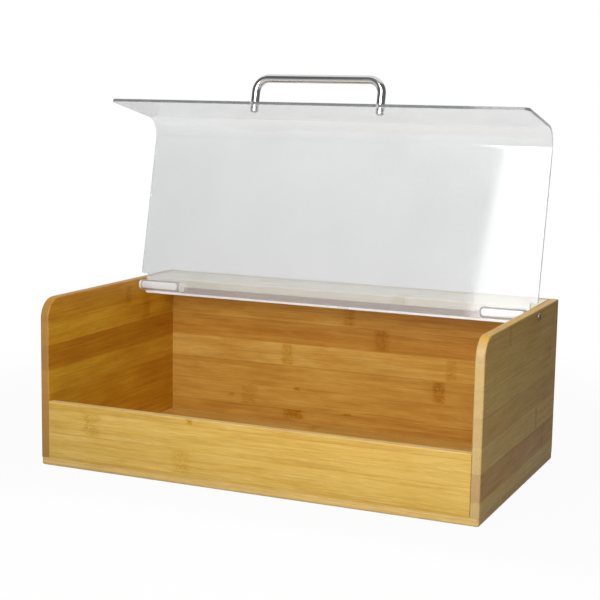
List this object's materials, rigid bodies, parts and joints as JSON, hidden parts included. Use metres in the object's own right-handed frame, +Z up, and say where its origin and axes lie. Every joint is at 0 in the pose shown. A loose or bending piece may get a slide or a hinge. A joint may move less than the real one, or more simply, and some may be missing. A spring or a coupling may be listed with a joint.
{
  "type": "bread box with hinged clear lid",
  "caption": "Open-fronted bamboo bread box with a bent clear acrylic lid that swings back on pivot screws and a steel rod handle on its front lip.",
  "frame": {"origin": "on the ground, under the middle of the box's footprint", "axes": "+X to the right along the box's length, +Y to the rear, +Z up; the open front faces -Y"},
  "size_m": [0.4036, 0.23, 0.3441],
  "materials": {
    "bamboo": "satin lacquered carbonised bamboo strips",
    "dowel_wood": "plain",
    "screw_steel": "zinc plated",
    "bright_steel": "polished",
    "nylon": "natural",
    "clear_acrylic": "clear, polished edges"
  },
  "bodies": {
    "box": {"bottom_panel": "bamboo", "left_side_panel": "bamboo", "right_side_panel": "bamboo", "front_panel": "bamboo", "back_panel": "bamboo", "rear_top_board": "bamboo", "front_panel_dowels": "dowel_wood", "back_panel_dowels": "dowel_wood", "rear_board_dowels": "dowel_wood", "bottom_screws": "screw_steel", "left_pivot_screw": "bright_steel", "right_pivot_screw": "bright_steel", "left_pivot_washer": "nylon", "right_pivot_washer": "nylon"},
    "lid": {"lid_sheet": "clear_acrylic", "left_hinge_block": "clear_acrylic", "right_hinge_block": "clear_acrylic", "handle_bar": "bright_steel", "handle_screws": "screw_steel"}
  },
  "joints": [
    {"name": "lid_hinge", "type": "hinge", "parent": "box", "child": "lid", "pos_m": [0, 0.044, 0.142], "axis": [1, 0, 0], "range_deg": [0, 102]}
  ]
}
